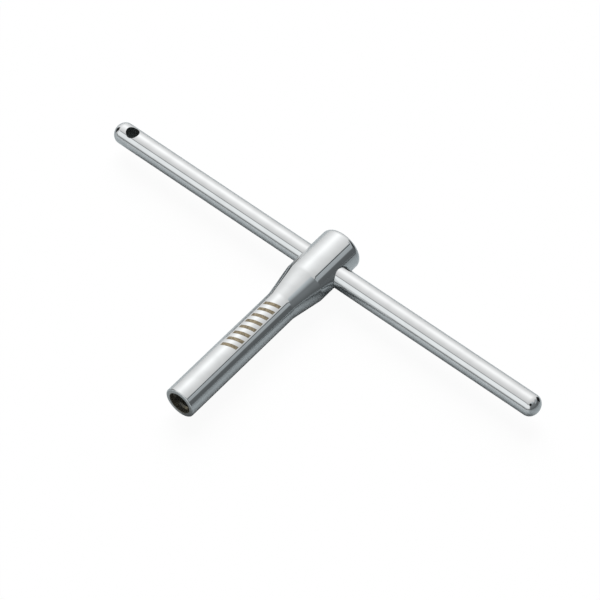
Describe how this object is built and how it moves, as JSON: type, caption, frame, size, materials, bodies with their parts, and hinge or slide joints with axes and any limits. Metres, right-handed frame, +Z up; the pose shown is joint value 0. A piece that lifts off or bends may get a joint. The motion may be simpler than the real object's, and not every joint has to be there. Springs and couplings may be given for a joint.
{
  "type": "t-handle square-socket key",
  "caption": "T-handle key: a turned chrome barrel with a square socket in its end and a straight cross bar with domed ends through its head.",
  "frame": {"origin": "on the plane the tool lies on, half-way along the cross bar and half-way along the barrel", "axes": "+X along the cross bar, away from its hanging hole; +Y along the barrel from the socket's mouth to the head; +Z up, square to the T"},
  "size_m": [0.162, 0.0744, 0.014],
  "materials": {
    "barrel_chrome": "polished chrome plate on turned steel",
    "bar_chrome": "polished chrome plate on drawn steel bar",
    "socket_steel": "oily bare steel inside the socket and the hanging hole, where the plating does not reach",
    "etched_mark": "matt brown-grey laser marking on the shank"
  },
  "bodies": {
    "root": {"barrel": "barrel_chrome", "cross_bar": "bar_chrome"}
  },
  "joints": []
}
